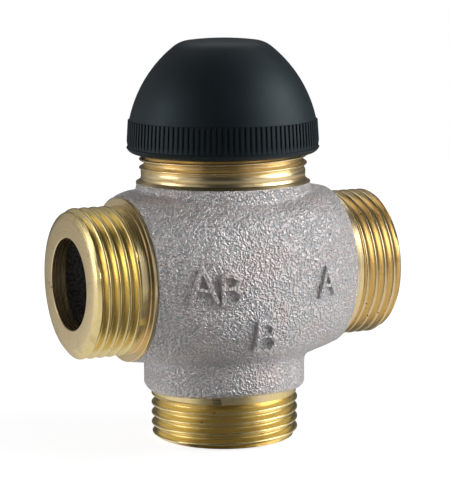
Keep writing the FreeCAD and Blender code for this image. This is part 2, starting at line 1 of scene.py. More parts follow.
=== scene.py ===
import bpy
import bmesh
import math
from mathutils import Matrix, Vector


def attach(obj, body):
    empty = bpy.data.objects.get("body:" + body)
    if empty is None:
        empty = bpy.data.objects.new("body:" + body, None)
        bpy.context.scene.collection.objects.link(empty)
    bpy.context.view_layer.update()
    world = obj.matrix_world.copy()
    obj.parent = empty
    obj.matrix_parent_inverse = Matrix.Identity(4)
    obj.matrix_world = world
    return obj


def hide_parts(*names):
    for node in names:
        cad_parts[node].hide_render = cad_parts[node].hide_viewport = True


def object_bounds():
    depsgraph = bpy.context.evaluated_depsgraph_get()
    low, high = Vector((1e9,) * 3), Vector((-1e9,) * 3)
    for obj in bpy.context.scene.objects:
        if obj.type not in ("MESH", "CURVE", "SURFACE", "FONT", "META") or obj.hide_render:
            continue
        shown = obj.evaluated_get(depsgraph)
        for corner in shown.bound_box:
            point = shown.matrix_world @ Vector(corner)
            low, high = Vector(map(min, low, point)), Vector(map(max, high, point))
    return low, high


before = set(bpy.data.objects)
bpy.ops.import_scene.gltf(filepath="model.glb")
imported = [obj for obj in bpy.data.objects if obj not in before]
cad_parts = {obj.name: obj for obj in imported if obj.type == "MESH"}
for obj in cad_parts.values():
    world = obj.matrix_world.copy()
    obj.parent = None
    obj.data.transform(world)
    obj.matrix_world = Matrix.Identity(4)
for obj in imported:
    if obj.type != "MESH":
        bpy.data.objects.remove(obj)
cadLow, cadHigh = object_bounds()
mm = 0.001
weld = 2e-6  # points closer than this become one
portHeight = 30.0  # axis of the two side ports above the lower port's face
portReach = 30.0  # valve axis to a side port's face
print("frame loaded:", len(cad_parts), "nodes")


# Helpers for node trees. A value or a socket can be given to any input.

def feed(tree, target, source):
    if isinstance(source, bpy.types.NodeSocket):
        tree.links.new(source, target)
    else:
        target.default_value = source


def place(tree, kind, inputs=None, **settings):
    node = tree.nodes.new(kind)
    for name, setting in settings.items():
        setattr(node, name, setting)
    for key, source in (inputs or {}).items():
        feed(tree, node.inputs[key], source)
    return node


def calc(tree, operation, *sources):
    node = place(tree, "ShaderNodeMath", operation=operation)
    for slot, source in zip(node.inputs, sources):
        feed(tree, slot, source)
    return node.outputs[0]


def ease(tree, source, low, high, outLow=0.0, outHigh=1.0):
    # a soft step from outLow to outHigh while the source goes from low to high
    node = place(tree, "ShaderNodeMapRange", interpolation_type="SMOOTHSTEP")
    for slot, value in zip(node.inputs, (source, low, high, outLow, outHigh)):
        feed(tree, slot, value)
    return node.outputs[0]


def newTree(kind, name, inputs, outputs):
    tree = bpy.data.node_groups.new(name, kind)
    for label, socketType, default in inputs:
        socket = tree.interface.new_socket(label, in_out="INPUT", socket_type=socketType)
        if default is not None:
            socket.default_value = default
    for label, socketType in outputs:
        tree.interface.new_socket(label, in_out="OUTPUT", socket_type=socketType)
    return tree, tree.nodes.new("NodeGroupInput").outputs, tree.nodes.new("NodeGroupOutput").inputs


def closeTree(tree, geometry, given, result):
    # each tree ends in real geometry that carries its material
    real = place(tree, "GeometryNodeRealizeInstances", {"Geometry": geometry})
    painted = place(tree, "GeometryNodeSetMaterial", {"Geometry": real.outputs[0],
                    "Material": given["Material"]})
    feed(tree, result["Geometry"], painted.outputs[0])


def evaluatedMesh(piece):
    depsgraph = bpy.context.evaluated_depsgraph_get()
    return bpy.data.meshes.new_from_object(piece.evaluated_get(depsgraph))


def grown(piece, tree, sizes):
    # the tree's result on this piece as a plain mesh, with no modifier left
    modifier = piece.modifiers.new(tree.name, "NODES")
    modifier.node_group = tree
    for item in tree.interface.items_tree:
        if item.in_out == "INPUT" and item.name in sizes:
            modifier[item.identifier] = sizes[item.name]
    shape = evaluatedMesh(piece)
    piece.modifiers.remove(modifier)
    return shape


def meshPiece(name, mesh):
    piece = bpy.data.objects.new(name, mesh)
    bpy.context.scene.collection.objects.link(piece)
    return piece


def meshOf(name, bm, sharpAngle=32):
    mesh = bpy.data.meshes.new(name)
    bm.to_mesh(mesh)
    bm.free()
    mesh.shade_smooth()
    mesh.set_sharp_from_angle(angle=math.radians(sharpAngle))
    return mesh


def mixColor(tree, factor, first, second):
    # the Mix node keeps a set of sockets for each data type, so the colour ones are taken by number
    node = place(tree, "ShaderNodeMix", {0: factor, 6: first, 7: second}, data_type="RGBA")
    return node.outputs[2]


def noiseValue(tree, spot, scale, detail=3.0, roughness=0.5, distortion=0.0):
    node = place(tree, "ShaderNodeTexNoise", {"Vector": spot, "Scale": scale, "Detail": detail,
                 "Roughness": roughness, "Distortion": distortion})
    return node.outputs[0]


def cellDots(tree, spot, scale, inner, outer):
    # 1 in the middle of each cell, falling to 0 outwards
    cells = place(tree, "ShaderNodeTexVoronoi", {"Vector": spot, "Scale": scale}, feature="F1")
    return ease(tree, cells.outputs["Distance"], inner, outer, 1.0, 0.0)


# Shader groups that several finishes use

sandSkin = {"grainScale": 2150.0, "ridgeFrom": 0.34, "ridgeTo": 0.64, "fineRatio": 2.1,
            "pitScale": 1100.0, "pitInner": 0.08, "pitOuter": 0.30,
            "rareScale": 420.0, "rareFrom": 0.60, "rareTo": 0.68, "patchScale": 120.0,
            "ridgeShare": 0.6, "fineShare": 0.5, "pitShare": 0.5}


def makeCastSkin():
    # the grain that sand leaves on a casting: worm-like ridges, pits and broad patches
    k = sandSkin
    tree, given, result = newTree("ShaderNodeTree", "castSkin", [
        ("Spot", "NodeSocketVector", None), ("Grain Scale", "NodeSocketFloat", k["grainScale"]),
        ("Pit Scale", "NodeSocketFloat", k["pitScale"]), ("Patch Scale", "NodeSocketFloat", k["patchScale"]),
    ], [("Height", "NodeSocketFloat"), ("Ridges", "NodeSocketFloat"),
        ("Pits", "NodeSocketFloat"), ("Patches", "NodeSocketFloat")])
    spot = given["Spot"]
    coarse = noiseValue(tree, spot, given["Grain Scale"], 1.0, 0.5, 0.5)
    ridges = ease(tree, coarse, k["ridgeFrom"], k["ridgeTo"])
    fineScale = calc(tree, "MULTIPLY", given["Grain Scale"], k["fineRatio"])
    fine = noiseValue(tree, spot, fineScale, 1.0, 0.5, 0.3)
    dots = cellDots(tree, spot, given["Pit Scale"], k["pitInner"], k["pitOuter"])
    rare = ease(tree, noiseValue(tree, spot, k["rareScale"], 1.0), k["rareFrom"], k["rareTo"])
    pits = calc(tree, "MULTIPLY", dots, rare)
    height = calc(tree, "ADD", calc(tree, "MULTIPLY", ridges, k["ridgeShare"]),
                  calc(tree, "MULTIPLY", fine, k["fineShare"]))
    height = calc(tree, "SUBTRACT", height, calc(tree, "MULTIPLY", pits, k["pitShare"]))
    feed(tree, result["Height"], height)
    feed(tree, result["Ridges"], ridges)
    feed(tree, result["Pits"], pits)
    feed(tree, result["Patches"], noiseValue(tree, spot, given["Patch Scale"], 3.0, 0.55, 0.3))
    return tree


latheMarks = {"ringScale": 2600.0, "ringLean": 1.37, "swayScale": 90.0, "sway": 0.12 * mm,
              "stainScale": 260.0, "speckScale": 700.0, "speckInner": 0.08, "speckOuter": 0.2,
              "rareScale": 160.0, "rareFrom": 0.60, "rareTo": 0.68}


def makeTurnedMarks():
    # rings that a lathe tool leaves; Spot is a point whose Z runs along the turning axis
    k = latheMarks
    tree, given, result = newTree("ShaderNodeTree", "turnedMarks", [
        ("Spot", "NodeSocketVector", None), ("Ring Scale", "NodeSocketFloat", k["ringScale"]),
        ("Stain Scale", "NodeSocketFloat", k["stainScale"]),
    ], [("Rings", "NodeSocketFloat"), ("Stain", "NodeSocketFloat"), ("Specks", "NodeSocketFloat")])
    spot = given["Spot"]
    parts = place(tree, "ShaderNodeSeparateXYZ", {0: spot})
    across, aside, along = parts.outputs
    radius = calc(tree, "SQRT", calc(tree, "ADD", calc(tree, "MULTIPLY", across, across),
                  calc(tree, "MULTIPLY", aside, aside)))
    along = calc(tree, "ADD", along, calc(tree, "MULTIPLY", radius, k["ringLean"]))
    sway = calc(tree, "MULTIPLY", noiseValue(tree, spot, k["swayScale"], 1.0), k["sway"])
    line = place(tree, "ShaderNodeTexNoise", {"W": calc(tree, "ADD", along, sway),
                 "Scale": given["Ring Scale"], "Detail": 3.0, "Roughness": 0.65}, noise_dimensions="1D")
    feed(tree, result["Rings"], line.outputs[0])
    feed(tree, result["Stain"], noiseValue(tree, spot, given["Stain Scale"], 4.0, 0.6, 0.8))
    dots = cellDots(tree, spot, k["speckScale"], k["speckInner"], k["speckOuter"])
    rare = ease(tree, noiseValue(tree, spot, k["rareScale"], 2.0), k["rareFrom"], k["rareTo"])
    feed(tree, result["Specks"], calc(tree, "MULTIPLY", rare, dots))
    return tree


moulding = {"grainScale": 5200.0, "cloudScale": 140.0}


def makeMouldSkin():
    # the matt spark-eroded skin of a plastic mould
    tree, given, result = newTree("ShaderNodeTree", "mouldSkin", [
        ("Spot", "NodeSocketVector", None), ("Grain Scale", "NodeSocketFloat", moulding["grainScale"]),
    ], [("Height", "NodeSocketFloat"), ("Clouds", "NodeSocketFloat")])
    feed(tree, result["Height"], noiseValue(tree, given["Spot"], given["Grain Scale"], 3.0, 0.6))
    feed(tree, result["Clouds"], noiseValue(tree, given["Spot"], moulding["cloudScale"], 2.0, 0.5, 0.4))
    return tree


castSkin = makeCastSkin()
turnedMarks = makeTurnedMarks()
mouldSkin = makeMouldSkin()


def startMaterial(name):
    material = bpy.data.materials.new(name)
    material.use_nodes = True
    tree = material.node_tree
    return material, tree, tree.nodes["Principled BSDF"].inputs


def groupNode(tree, group, **inputs):
    node = place(tree, "ShaderNodeGroup", node_tree=group)
    for name, source in inputs.items():
        feed(tree, node.inputs[name], source)
    return node.outputs


def objectSpot(tree):
    return place(tree, "ShaderNodeTexCoord").outputs["Object"]


def latheSpot(tree):
    return place(tree, "ShaderNodeAttribute", attribute_name="latheSpot").outputs["Vector"]


def bumped(tree, height, distance):
    return place(tree, "ShaderNodeBump", {"Height": height, "Strength": 1.0, "Distance": distance}).outputs[0]


castNickelLook = {"pale": (0.93, 0.865, 0.85, 1), "dark": (0.68, 0.69, 0.705, 1),
                  "warm": (0.88, 0.77, 0.74, 1), "warmShare": 0.55, "pit": (0.22, 0.21, 0.205, 1),
                  "pitShare": 0.8, "metallic": 0.75, "roughLow": 0.44, "roughHigh": 0.33,
                  "grainHeight": 0.38 * mm}


def makeCastNickel():
    look = castNickelLook
    material, tree, surface = startMaterial("castNickel")
    skin = groupNode(tree, castSkin, Spot=objectSpot(tree))
    # pale on the raised grain and bluish dark between it: painted highlight on the ridges and painted shade
    # in the hollows
    tint = mixColor(tree, ease(tree, skin["Ridges"], 0.1, 0.9), look["dark"], look["pale"])
    tint = mixColor(tree, ease(tree, skin["Patches"], 0.50, 0.66, 0.0, look["warmShare"]), tint, look["warm"])
    # near-black in the sunken pits: painted shade in the hollows
    tint = mixColor(tree, calc(tree, "MULTIPLY", skin["Pits"], look["pitShare"]), tint, look["pit"])
    feed(tree, surface["Base Color"], tint)
    surface["Metallic"].default_value = look["metallic"]
    rough = ease(tree, skin["Ridges"], 0.0, 1.0, look["roughLow"], look["roughHigh"])
    feed(tree, surface["Roughness"], rough)
    feed(tree, surface["Normal"], bumped(tree, skin["Height"], look["grainHeight"]))
    return material


# the cored ways are near-black: partly the dull cored skin, partly painted shade deep inside the ports
coredWallLook = {"dark": (0.08, 0.083, 0.088, 1), "pale": (0.24, 0.237, 0.232, 1), "metallic": 0.2,
                 "roughness": 0.75, "grainHeight": 0.12 * mm}


def makeCoredWall():
    look = coredWallLook
    material, tree, surface = startMaterial("coredWall")
    skin = groupNode(tree, castSkin, Spot=objectSpot(tree))
    feed(tree, surface["Base Color"], mixColor(tree, skin["Ridges"], look["dark"], look["pale"]))
    surface["Metallic"].default_value = look["metallic"]
    surface["Roughness"].default_value = look["roughness"]
    feed(tree, surface["Normal"], bumped(tree, skin["Height"], look["grainHeight"]))
    return material


turnedLooks = {  # rings run from deep to light; groove is the colour low in the thread
    "portBrass": {"spot": latheSpot, "light": (0.88, 0.71, 0.42, 1), "deep": (0.83, 0.64, 0.34, 1),
                  "stain": (0.60, 0.44, 0.22, 1), "rough": (0.22, 0.36), "ringHeight": 0.008 * mm,
                  "groove": (0.88, 0.71, 0.33, 1), "grooveFrom": 0.10 * mm, "grooveTo": 0.45 * mm},
    "innerBrass": {"spot": objectSpot, "light": (0.84, 0.66, 0.36, 1), "deep": (0.76, 0.56, 0.27, 1),
                   "stain": (0.60, 0.42, 0.20, 1), "rough": (0.22, 0.38), "ringHeight": 0.010 * mm},
    "turnedSteel": {"spot": objectSpot, "light": (0.66, 0.66, 0.67, 1), "deep": (0.54, 0.54, 0.56, 1),
                    "stain": (0.46, 0.44, 0.42, 1), "rough": (0.20, 0.34), "ringHeight": 0.008 * mm},
}
tarnish = {"stainShare": 0.5, "speckShare": 0.85, "speck": (0.06, 0.045, 0.03, 1)}


def makeTurnedMetal(name):
    look = turnedLooks[name]
    material, tree, surface = startMaterial(name)
    marks = groupNode(tree, turnedMarks, Spot=look["spot"](tree))
    tint = mixColor(tree, marks["Rings"], look["deep"], look["light"])
    # groove: a richer, darker gold low in the thread, painted shade between the flanks
    if "groove" in look:
        cut = place(tree, "ShaderNodeAttribute", attribute_name="grooveDepth").outputs["Fac"]
        tint = mixColor(tree, ease(tree, cut, look["grooveFrom"], look["grooveTo"]), tint, look["groove"])
    stained = ease(tree, marks["Stain"], 0.52, 0.72, 0.0, tarnish["stainShare"])
    tint = mixColor(tree, stained, tint, look["stain"])
    specks = calc(tree, "MULTIPLY", marks["Specks"], tarnish["speckShare"])
    feed(tree, surface["Base Color"], mixColor(tree, specks, tint, tarnish["speck"]))
    surface["Metallic"].default_value = 1.0
    feed(tree, surface["Roughness"], ease(tree, marks["Rings"], 0.25, 0.75, *look["rough"]))
    feed(tree, surface["Normal"], bumped(tree, marks["Rings"], look["ringHeight"]))
    return material


mouldedLooks = {
    "capPlastic": {"dark": (0.0060, 0.0110, 0.0145, 1), "light": (0.0105, 0.0165, 0.0205, 1),
                   "roughness": 0.50, "grainHeight": 0.02 * mm, "gloss": (0.72, 0.92, 1, 1)},
    "sealRubber": {"dark": (0.018, 0.018, 0.018, 1), "light": (0.032, 0.031, 0.030, 1),
                   "roughness": 0.62, "grainHeight": 0.03 * mm, "gloss": (1, 1, 1, 1)},
    "guidePlastic": {"dark": (0.74, 0.71, 0.66, 1), "light": (0.80, 0.78, 0.73, 1),
                     "roughness": 0.44, "grainHeight": 0.015 * mm, "gloss": (1, 1, 1, 1)},
}


def makeMoulded(name):
    look = mouldedLooks[name]
    material, tree, surface = startMaterial(name)
    skin = groupNode(tree, mouldSkin, Spot=objectSpot(tree))
    feed(tree, surface["Base Color"], mixColor(tree, skin["Clouds"], look["dark"], look["light"]))
    low, high = look["roughness"] - 0.04, look["roughness"] + 0.05
    feed(tree, surface["Roughness"], ease(tree, skin["Clouds"], 0.2, 0.8, low, high))
    surface["Specular IOR Level"].default_value = 0.42
    surface["Specular Tint"].default_value = look["gloss"]
    feed(tree, surface["Normal"], bumped(tree, skin["Height"], look["grainHeight"]))
    return material


castNickel = makeCastNickel()
coredWall = makeCoredWall()
portBrass, innerBrass, turnedSteel = (makeTurnedMetal(name) for name in turnedLooks)
capPlastic, sealRubber, guidePlastic = (makeMoulded(name) for name in mouldedLooks)
print("finishes ready:", len(bpy.data.materials))


# Thread sleeve: a grid whose rows follow the helix, held between two turned ends

def roundDrop(tree, arc, aside):
    # how far a rounded crest or root falls away at this distance from its middle
    square = calc(tree, "SUBTRACT", calc(tree, "MULTIPLY", arc, arc), calc(tree, "MULTIPLY", aside, aside))
    return calc(tree, "SUBTRACT", arc, calc(tree, "SQRT", calc(tree, "MAXIMUM", square, 0.0)))


def makeThreadSleeve():
    tree, given, result = newTree("GeometryNodeTree", "threadSleeve", [
        ("Crest Radius", "NodeSocketFloat", 0.0132), ("Arc Radius", "NodeSocketFloat", 0.00025),
        ("Flank Angle", "NodeSocketFloat", 0.48), ("Pitch", "NodeSocketFloat", 0.0018),
        ("Helix Foot", "NodeSocketFloat", 0.0),
        ("Start", "NodeSocketFloat", 0.0), ("Start Radius", "NodeSocketFloat", 0.012),
        ("Start Slope", "NodeSocketFloat", 1.0), ("Start Fade", "NodeSocketFloat", 9.0),
        ("End", "NodeSocketFloat", 0.008), ("End Radius", "NodeSocketFloat", 0.013),
        ("End Slope", "NodeSocketFloat", 1.0), ("End Fade", "NodeSocketFloat", 1.0),
        ("Around", "NodeSocketInt", 144),
        ("Per Pitch", "NodeSocketInt", 14), ("Turns", "NodeSocketInt", 6),
        ("Material", "NodeSocketMaterial", None),
    ], [("Geometry", "NodeSocketGeometry")])
    rows = calc(tree, "ADD", calc(tree, "MULTIPLY", given["Per Pitch"], given["Turns"]), 1.0)
    grid = place(tree, "GeometryNodeMeshGrid", {"Size X": 1.0, "Size Y": 1.0,
                 "Vertices X": calc(tree, "ADD", given["Around"], 1.0), "Vertices Y": rows})
    parts = place(tree, "ShaderNodeSeparateXYZ", {0: place(tree, "GeometryNodeInputPosition").outputs[0]})
    turn = calc(tree, "ADD", parts.outputs[0], 0.5)
    angle = calc(tree, "MULTIPLY", turn, 2 * math.pi)
    # phase counts pitches along one line of the sleeve and is a whole number on a crest
    phase = calc(tree, "MULTIPLY", calc(tree, "ADD", parts.outputs[1], 0.5), given["Turns"])
    climb = calc(tree, "MULTIPLY", given["Pitch"], calc(tree, "ADD", turn, phase))
    along = calc(tree, "ADD", given["Helix Foot"], climb)
    along = calc(tree, "MINIMUM", calc(tree, "MAXIMUM", along, given["Start"]), given["End"])
    arc = given["Arc Radius"]
    half = calc(tree, "MULTIPLY", given["Pitch"], 0.5)
    # away is the distance from the nearest crest
    away = calc(tree, "MULTIPLY", given["Pitch"], calc(tree, "PINGPONG", phase, 0.5))
    reach = calc(tree, "MULTIPLY", arc, calc(tree, "COSINE", given["Flank Angle"]))
    crestDrop = roundDrop(tree, arc, calc(tree, "MINIMUM", away, reach))
    rootRise = roundDrop(tree, arc, calc(tree, "MINIMUM", calc(tree, "SUBTRACT", half, away), reach))
    onFlank = calc(tree, "MINIMUM", calc(tree, "MAXIMUM", away, reach), calc(tree, "SUBTRACT", half, reach))
    flank = calc(tree, "DIVIDE", calc(tree, "SUBTRACT", onFlank, reach),
                 calc(tree, "TANGENT", given["Flank Angle"]))
    rootDrop = calc(tree, "SUBTRACT", roundDrop(tree, arc, reach), rootRise)
    drop = calc(tree, "ADD", calc(tree, "ADD", crestDrop, flank), rootDrop)
    radius = calc(tree, "SUBTRACT", given["Crest Radius"], drop)
    top = given["Crest Radius"]
    fromStart = calc(tree, "SUBTRACT", along, given["Start"])
    toEnd = calc(tree, "SUBTRACT", given["End"], along)
    for way, edge in ((fromStart, "Start"), (toEnd, "End")):
        low = calc(tree, "SUBTRACT", given[edge + " Radius"],
                   calc(tree, "MULTIPLY", way, given[edge + " Fade"]))
        high = calc(tree, "ADD", given[edge + " Radius"],
                    calc(tree, "MULTIPLY", way, given[edge + " Slope"]))
        radius = calc(tree, "MINIMUM", calc(tree, "MAXIMUM", radius, low), high)
        top = calc(tree, "MINIMUM", top, high)
    spot = place(tree, "ShaderNodeCombineXYZ", {
        0: calc(tree, "MULTIPLY", radius, calc(tree, "COSINE", angle)),
        1: calc(tree, "MULTIPLY", radius, calc(tree, "SINE", angle)), 2: along})
    shaped = place(tree, "GeometryNodeSetPosition", {"Geometry": grid.outputs["Mesh"],
                   "Position": spot.outputs[0]})
    cut = place(tree, "GeometryNodeStoreNamedAttribute", {
        "Geometry": shaped.outputs[0], "Name": "grooveDepth",
        "Value": calc(tree, "SUBTRACT", top, radius)}, data_type="FLOAT", domain="POINT")
    merged = place(tree, "GeometryNodeMergeByDistance", {"Geometry": cut.outputs[0], "Distance": weld})
    closeTree(tree, merged.outputs[0], given, result)
    return tree


threadSleeve = makeThreadSleeve()


def eased(outline, bevel):
    # each inner corner of a turned outline is broken by two points
    points = [outline[0]]
    for before, corner, after in zip(outline, outline[1:], outline[2:]):
        for other in (before, after):
            way = Vector(other) - Vector(corner)
            points.append(tuple(Vector(corner) + way.normalized() * min(bevel, way.length * 0.4)))
    return points + [outline[-1]]


def addRings(bm, outline, around, close=False):
    # rings of points (along, radius) in millimetres, turned round the local Z axis
    rings = []
    for along, radius in outline:
        if radius < 1e-6:
            rings.append([bm.verts.new((0, 0, along * mm))])
            continue
        rings.append([bm.verts.new((radius * mm * math.cos(2 * math.pi * k / around),
                                    radius * mm * math.sin(2 * math.pi * k / around), along * mm))
                      for k in range(around)])
    for low, high in zip(rings, rings[1:] + ([rings[0]] if close else [])):
        for k in range(around):
            corners = [low[k % len(low)], low[(k + 1) % len(low)],
                       high[(k + 1) % len(high)], high[k % len(high)]]
            unique = [v for i, v in enumerate(corners) if v not in corners[:i]]
            if len(unique) > 2:
                bm.faces.new(unique)


def closeShell(bm):
    bmesh.ops.remove_doubles(bm, verts=bm.verts, dist=weld)
    bmesh.ops.dissolve_degenerate(bm, dist=1e-7, edges=bm.edges)
    bmesh.ops.recalc_face_normals(bm, faces=bm.faces)


def threadedEnd(name, sizes, around, outline, bevel, turned, coredFrom=None, coredReach=None):
    # a thread sleeve and the turned outline that leads from its start round to its end, as one shell
    pitch, spare = sizes["pitch"], 2  # turns of helix past each end of the sleeve
    foot = sizes["crestAt"] - pitch * (math.ceil((sizes["crestAt"] - sizes["start"]) / pitch) + spare)
    turns = math.ceil((sizes["end"] - foot) / pitch) + spare
    host = meshPiece(name, bpy.data.meshes.new(name))
    sleeve = grown(host, threadSleeve, {
        "Crest Radius": sizes["crest"] * mm, "Arc Radius": sizes["arc"] * mm,
        "Flank Angle": math.radians(sizes["flankAngle"]), "Pitch": pitch * mm,
        "Helix Foot": foot * mm, "Start": sizes["start"] * mm, "Start Radius": sizes["startRadius"] * mm,
        "Start Slope": sizes["startSlope"], "Start Fade": sizes["startFade"], "End": sizes["end"] * mm,
        "End Radius": sizes["endRadius"] * mm, "End Slope": sizes["endSlope"], "End Fade": sizes["endFade"],
        "Around": around, "Per Pitch": sizes["perPitch"],
        "Turns": turns, "Material": portBrass})
    bm = bmesh.new()
    bm.from_mesh(sleeve)
    addRings(bm, eased(outline, bevel), around)
    closeShell(bm)
    mesh = meshOf(name, bm, sizes["sharpAngle"])
    spots = mesh.attributes.new("latheSpot", "FLOAT_VECTOR", "POINT")
    spots.data.foreach_set("vector", [c for v in mesh.vertices for c in v.co])
    mesh.materials.clear()
    mesh.materials.append(portBrass)
    if coredFrom:
        mesh.materials.append(coredWall)
        for face in mesh.polygons:
            reach = math.hypot(face.center.x, face.center.y)
            face.material_index = int(face.center.z > coredFrom * mm and reach < coredReach * mm)
    mesh.transform(turned)
    host.data = mesh
    return host


def frameOf(origin, first, second, axis):
    # local Z becomes the given axis; first, second and axis are a right-handed set
    spin = Matrix((first, second, axis)).transposed().to_4x4()
    return Matrix.Translation(Vector(origin) * mm) @ spin


# The three ports: G 3/4 pipe thread, flat face, bore lip, cored way, plain band and shoulder

portSizes = {"pitch": 1.814, "crest": 13.22, "arc": 0.249, "flankAngle": 27.5, "perPitch": 16,
             "sharpAngle": 40, "start": 0.35, "startRadius": 12.35, "startSlope": 1.2, "startFade": 9.0,
             "end": 8.35, "endRadius": 13.0, "endSlope": 1.2, "endFade": 1.1}
portOutline = {"faceRadius": 11.3, "lipRadius": 8.1, "lipRun": 2.8, "coreRadius": 9.4, "coredFrom": 2.74,
               "coredReach": 9.6, "bandRadius": 13.0, "shoulderRadius": 14.5, "around": 160, "bevel": 0.12}
ports = {
    "portEndAb": {"shoulder": 10.0, "back": 10.72, "crestAt": 1.55, "rim": True,
                  "frame": frameOf((-portReach, 0, portHeight), (0, 1, 0), (0, 0, 1), (1, 0, 0))},
    "portEndA": {"shoulder": 10.0, "back": 10.72, "crestAt": 0.90, "rim": True,
                 "frame": frameOf((portReach, 0, portHeight), (0, 0, 1), (0, 1, 0), (-1, 0, 0))},
    "portEndB": {"back": 10.3, "crestAt": 1.83, "rim": False,
                 "frame": frameOf((0, 0, 0), (1, 0, 0), (0, 1, 0), (0, 0, 1))},
}


def makePort(name, port):
    sizes = dict(portSizes, crestAt=port["crestAt"])
    o = portOutline
    outline = [(sizes["start"], sizes["startRadius"]), (0.0, o["faceRadius"]), (0.0, o["lipRadius"]),
               (o["lipRun"], o["lipRadius"]), (o["lipRun"], o["coreRadius"]), (port["back"], o["coreRadius"])]
    if port["rim"]:
        outline += [(port["back"], o["shoulderRadius"]), (port["shoulder"], o["shoulderRadius"]),
                    (port["shoulder"], o["bandRadius"])]
    else:
        outline += [(port["back"], o["bandRadius"])]
    outline.append((sizes["end"], sizes["endRadius"]))
    piece = threadedEnd(name, sizes, o["around"], outline, o["bevel"], port["frame"],
                        o["coredFrom"], o["coredReach"])
    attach(piece, "valve")
    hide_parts("valve_body")


for name, port in ports.items():
    makePort(name, port)
print("ports turned and threaded")


# The neck: cone, plain band with a scribed line, M30 x 1.5 thread, screwed bore

neck = {"pitch": 1.5, "crest": 15.0, "arc": 0.19, "flankAngle": 30.0, "perPitch": 16, "sharpAngle": 40,
        "start": 48.55, "startRadius": 14.72, "startSlope": 1.5, "startFade": 0.6,
        "end": 53.9, "endRadius": 14.2, "endSlope": 1.0, "endFade": 1.0, "crestAt": 48.345}
neckOutline = {"foot": 46.2, "coneEdge": 46.45, "coneFoot": 15.55, "coneHead": 47.0, "coneSpread": 0.05,
               "bandRadius": 14.7, "lineHeight": 47.55, "lineDepth": 0.14, "lineHalf": 0.09, "bore": 11.5,
               "top": 54.0, "topInset": 0.1, "around": 160, "bevel": 0.05}


def makeNeck():
    n, o = neck, neckOutline
    line = o["lineHeight"]
    outline = [(n["start"], n["startRadius"]), (line + o["lineHalf"], o["bandRadius"]),
               (line, o["bandRadius"] - o["lineDepth"]), (line - o["lineHalf"], o["bandRadius"]),
               (o["coneHead"], o["bandRadius"] + o["coneSpread"]), (o["coneEdge"], o["coneFoot"]),
               (o["foot"], o["coneFoot"]), (o["foot"], o["bore"]), (o["top"], o["bore"]),
               (o["top"], n["endRadius"] - o["topInset"]), (n["end"], n["endRadius"])]
    piece = threadedEnd("neckEnd", n, o["around"], outline, o["bevel"], Matrix.Identity(4))
    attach(piece, "valve")
    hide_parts("valve_body")


makeNeck()
print("neck turned and threaded")


# The casting: the CAD's outer skin between the machined ends, remeshed fine enough for grain and letters

casting = {"voxel": 0.32 * mm, "sideCut": 19.3, "lowerCut": 9.22, "neckCut": 46.45, "extension": 3.0,
           "smoothing": 3, "sharpAngle": 60, "footLift": 0.7, "footLiftTop": 12.6, "footLiftReach": 13.2,
           "grainScale": 1300.0, "grainDepth": 0.05, "lumpScale": 210.0, "lumpDepth": 0.22, "calmWidth": 0.5}
letters = {"height": 0.55, "half": 0.26, "soft": 0.24, "fineReach": 1.0,
           "left": -17.5, "right": 14.0, "foot": 17.0, "head": 36.0, "front": -12.0}
cuts = [((casting["sideCut"], 0, 0), (1, 0, 0)), ((-casting["sideCut"], 0, 0), (-1, 0, 0)),
        ((0, 0, casting["lowerCut"]), (0, 0, -1)), ((0, 0, casting["neckCut"]), (0, 0, 1))]
letterStrokes = [  # port marks on the front, as lines of (x, z)
    [(-14.5, 28.5), (-12.8, 33.9), (-10.4, 28.3)], [(-13.8, 30.5), (-11.5, 30.2)],
    [(-9.4, 27.6), (-9.4, 32.7), (-7.6, 32.6), (-6.8, 31.9), (-7.2, 30.7), (-9.0, 30.3)],
    [(-7.6, 30.4), (-6.5, 29.6), (-6.4, 28.6), (-7.3, 27.8), (-9.4, 27.6)],
    [(9.2, 27.7), (10.7, 32.5), (12.4, 28.0)], [(9.9, 29.6), (11.8, 29.4)],
    [(-3.0, 18.9), (-3.0, 24.2), (-1.0, 24.0), (-0.2, 23.2), (-0.6, 22.1), (-2.6, 21.8)],
    [(-0.9, 21.8), (0.2, 21.0), (0.4, 20.0), (-0.6, 19.2), (-3.0, 18.9)],
]


def cutEnds(bm):
    for point, normal in cuts:
        everything = bm.verts[:] + bm.edges[:] + bm.faces[:]
        bmesh.ops.bisect_plane(bm, geom=everything, dist=1e-7, plane_co=Vector(point) * mm,
                               plane_no=normal, clear_outer=True)


def islandsOf(bm):
    bm.faces.ensure_lookup_table()
    seen, islands = set(), []
    for first in bm.faces:
        if first.index in seen:
            continue
        seen.add(first.index)
        found, waiting = [], [first]
        while waiting:
            face = waiting.pop()
            found.append(face)
            for edge in face.edges:
                for other in edge.link_faces:
                    if other.index not in seen:
                        seen.add(other.index)
                        waiting.append(other)
        islands.append(found)
    return islands


def onCut(edge, point, normal):
    return all(abs((v.co - Vector(point) * mm).dot(Vector(normal))) < 2e-6 for v in edge.verts)


def splitCasting():
    # outer skin and inner walls of the CAD casting once the machined ends are cut off
    outer, inner = bmesh.new(), bmesh.new()
    for bm, keepOuter in ((outer, True), (inner, False)):
        bm.from_mesh(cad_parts["valve_body"].data)
        bmesh.ops.remove_doubles(bm, verts=bm.verts, dist=1e-6)
        cutEnds(bm)
        bm.faces.index_update()
        islands = islandsOf(bm)
        widest = max(islands, key=lambda faces: max(abs(v.co.y) for f in faces for v in f.verts))
        drop = [f for faces in islands if (faces is widest) != keepOuter for f in faces]
        bmesh.ops.delete(bm, geom=drop, context="FACES")
    return outer, inner


